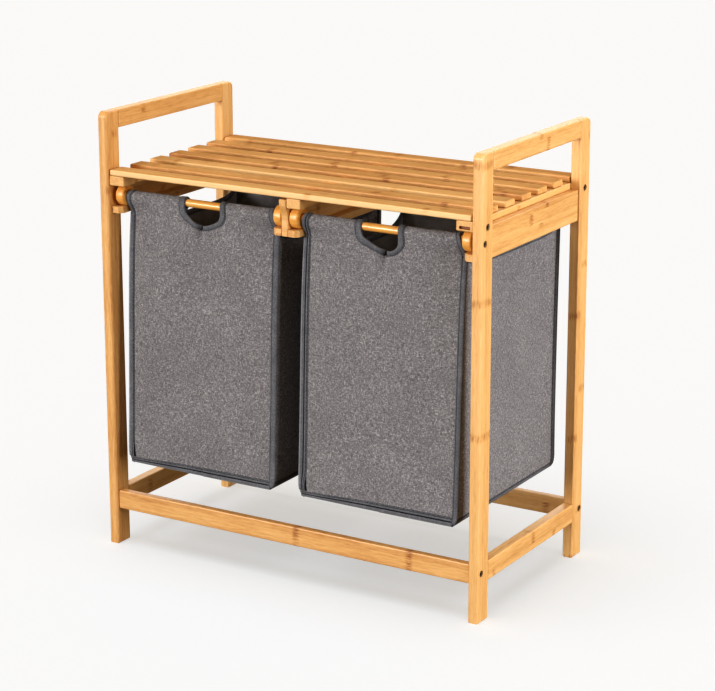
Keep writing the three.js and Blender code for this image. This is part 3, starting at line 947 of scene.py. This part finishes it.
def steps(a, b, spacing):
    count = max(2, int(abs(b - a) / spacing) + 1)
    return [lerp(a, b, k / (count - 1)) for k in range(count)]


def surface_frame(place, a, b, flip):
    """The place of flat point (a, b) and the normal there, turned by flip to face out."""
    here = place(a, b)
    da = place(a + 0.4, b) - place(a - 0.4, b)
    db = place(a, b + 0.4) - place(a, b - 0.4)
    return here, flip * da.cross(db).normalized()


def panel_edge(bag, end, side):
    """lay() for a vertical edge of the front or back panel, up over the sleeve."""
    def lay(t, inward):
        x = bag.edge_x(t, side)
        # at the bottom left it narrows and its edge lifts, and the tape's painted shade edge opens wide
        # beside it as a dark strip of painted shade
        lift = 0.0
        if end < 0 and side < 0 and inward > 0:
            reach = BINDING[bag.hand, side] - FRONT_TAPE_OVER
            low = smooth(1 - (t - bag.bottom - FOLD_FADES[0]) / FOLD_FADES[1])
            body = reach - FOLD_EDGE
            lift = FOLD_LIFT * low if inward > body + 0.5 else 0.0
            opening = max(inward - body, 0.0) / FOLD_EDGE * FOLD_OPENS * low
            inward = inward * (1 - FOLD_TAKES * low) + opening
        near, normal = surface_frame(lambda a, b: bag.panel(a, b, end), x - side * max(inward, 0.5), t, -end)
        if inward < 0.5:
            step = bag.panel(x - side * 0.5, t, end) - bag.panel(x - side * 1.5, t, end)
            near = near + step * (0.5 - inward)
        return near + normal * lift, normal

    return lay


def bottom_edge(bag, end):
    """lay() for the front or back panel's bottom edge, its tape standing on the panel."""
    def lay(x, inward):
        # the tape is narrower at its left end
        inward *= lerp(0.64, 1.0, smooth((x - bag.mid + bag.half) / 120))
        t = bag.bottom + max(inward, 0.0)
        near, normal = surface_frame(lambda a, b: bag.panel(a, b, end), x, max(t, bag.bottom + 0.5), -end)
        return near + Vector((0, 0, min(inward, 0.0))), normal

    return lay


def side_bottom_edge(bag, side):
    def lay(v, inward):
        z = bag.bottom + max(inward, 0.0)
        return bag.side_wall(v, z, side) + Vector((0, 0, min(inward, 0.0))), Vector((side, 0, 0))

    return lay


def side_top_edge(bag, side):
    def lay(v, inward):
        z = bag.side_top(v, side) - max(inward, 0.0)
        return bag.side_wall(v, z, side) - Vector((0, 0, min(inward, 0.0))), Vector((side, 0, 0))

    return lay


def side_back_edge(bag, side):
    """lay() for the rear vertical seam, its tape lying on the side wall."""
    def lay(z, inward):
        deep = BACK_SEAM(z) - FRONT_SEAM(z)
        here = bag.side_wall(1 - max(inward, 0.0) / deep, z, side)
        return here + Vector((0, -min(inward, 0.0), 0)), Vector((side, 0, 0))

    return lay


def notch_route(bag):
    """The notch's edge as flat points, evenly spaced, from the left inner hem to the right one."""
    centre = bag.mid + NOTCH_OFF_CENTRE
    hand, above = bag.hand, NOTCH_CORNER + 1
    ends = [notch_x(hand, NOTCH_CORNER, side) for side in (-1, 1)]
    points = [(notch_x(hand, t, -1), t) for t in steps(bag.end, above, 2.5)]
    points += [(x, notch_floor(hand, x)) for x in steps(*ends, 2.5)]
    points += [(notch_x(hand, t, 1), t) for t in steps(above, bag.end, 2.5)]
    return [(centre + x, t) for x, t in points]


def notch_lay(bag, route):
    def lay(s, inward):
        i = min(int(s), len(route) - 2)
        f = s - i
        x, t = (lerp(route[i][k], route[i + 1][k], f) for k in (0, 1))
        before, after = route[max(i - 1, 0)], route[min(i + 2, len(route) - 1)]
        dx, dt = after[0] - before[0], after[1] - before[1]
        size = math.hypot(dx, dt)
        # the tape narrows along the notch's bottom
        inward *= 1 - 0.3 * smooth((532 - t) / 14)
        # the cloth is on the right of the way along the edge
        x, t = x + inward * dt / size, t - inward * dx / size
        return surface_frame(lambda a, b: bag.panel(a, b, -1), x, t, 1)

    return lay


BAG_SIDES = ((-1, "left"), (1, "right"))


def bind_panel(bag, bind, end, word):
    """The tapes of the front or back panel: up its two edges, over the sleeve's ends, along the bottom."""
    for side, way in BAG_SIDES:
        lay = panel_edge(bag, end, side)
        if end < 0:
            start = 8.5 if side < 0 else 2.0
            # the left tape's outer edge gets the painted highlight, as it faces the light from the front left
            bind(f"binding_{word}_{way}", lay, steps(bag.bottom + start, SEAM_TOP, 3.0),
                 BINDING[bag.hand, side], over=FRONT_TAPE_OVER, rim=RIM_PAINTED_HIGHLIGHT if side < 0 else BODY)
        else:
            bind(f"binding_{word}_{way}", side_back_edge(bag, side),
                 steps(bag.bottom + 1, SEAM_TOP, 4.0), 11.5)
        wide = BINDING[bag.hand, side] * 0.86 if end < 0 else 9.0
        bind(f"sleeve_binding_{word}_{way}", lay, steps(SEAM_TOP - 1.5, bag.end, 2.0), wide, 3.0, 0.8)
    x0, x1 = bag.edge_x(bag.bottom, -1), bag.edge_x(bag.bottom, 1)
    join = bag.mid + TAPE_JOIN
    lay = bottom_edge(bag, end)
    # the bottom tapes' lower edges get the painted highlight
    bind(f"binding_bottom_{word}_left", lay, steps(x0 - 3, join + 5, 4.0), 13.5, rim=RIM_PAINTED_HIGHLIGHT)
    bind(f"binding_bottom_{word}_right", lay, steps(join, x1 + 1, 4.0), 14.2, 4.6, 2.0, rim=RIM_PAINTED_HIGHLIGHT)


def bind_walls(bag, bind):
    along = steps(0.0, 1.0, 0.012)
    for side, way in BAG_SIDES:
        bind(f"binding_bottom_{way}", side_bottom_edge(bag, side), along, 11.0)
        bind(f"binding_top_{way}", side_top_edge(bag, side), along, 9.0, 3.0, 0.8)


def bind_notch(bag, bind):
    """Two tapes that meet at the notch's lowest point, with a thin dark piece in the painted shade tone
    between them, painted shade for the gap there.
    """
    route = notch_route(bag)
    lay = notch_lay(bag, route)
    join = min(range(len(route)), key=lambda i: route[i][1])
    bind("notch_binding_left", lay, steps(0, join - 0.6, 0.5), 11.0, 3.4, 0.9)
    bind("notch_binding_right", lay, steps(join + 1.4, len(route) - 1, 0.5), 11.0, 3.4, 0.9)
    # the dark piece between the two tapes is painted shade
    painted_shade_filler = bind("notch_join", lay, steps(join - 1.0, join + 1.8, 0.3), 11.6, 2.4, 0.7, stitches=None)
    for face in painted_shade_filler.data.polygons:
        face.material_index = GROOVE_PAINTED_SHADE


def make_bag(hand):
    bag = Bag(hand)
    shell = make_shell(bag, [CLOTHS["melange"], CLOTHS["lining"]])
    store = ([], [])
    tapes = []

    def bind(name, *sizes, stitches=store, **more):
        tapes.append(tape(f"{hand}_bag_{name}", bag, *sizes, stitches=stitches, **more))
        return tapes[-1]

    bind_panel(bag, bind, -1, "front")
    bind_panel(bag, bind, 1, "back")
    bind_walls(bag, bind)
    bind_notch(bag, bind)
    threads = mesh_piece(f"{hand}_bag_stitches", store[0], store[1], [CLOTHS["thread"]], f"{hand}_bag")
    panels = ("front_panel", "back_panel", "side_left", "side_right", "bottom")
    nodes = [f"{hand}_bag_{part}" for part in panels]
    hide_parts(*nodes)


CLOTHS = {"melange": melange(), "lining": lining_cloth(), "thread": thread(),
          "tape": tape_cloth("binding_tape", 88, 105, 130),
          # groove is painted shade, for the tapes' grooves, inner edges, the fold low down and the notch's
          # join; rim is a painted highlight on tape edges that face the light
          "groove": tape_cloth("binding_tape_groove", 16, 26, 38),
          "rim": tape_cloth("binding_tape_rim", 112, 136, 160)}

make_camera()
make_studio()
dress_wood()
dress_bolts()
make_rollers()
for hand in HANDS:
    make_bag(hand)
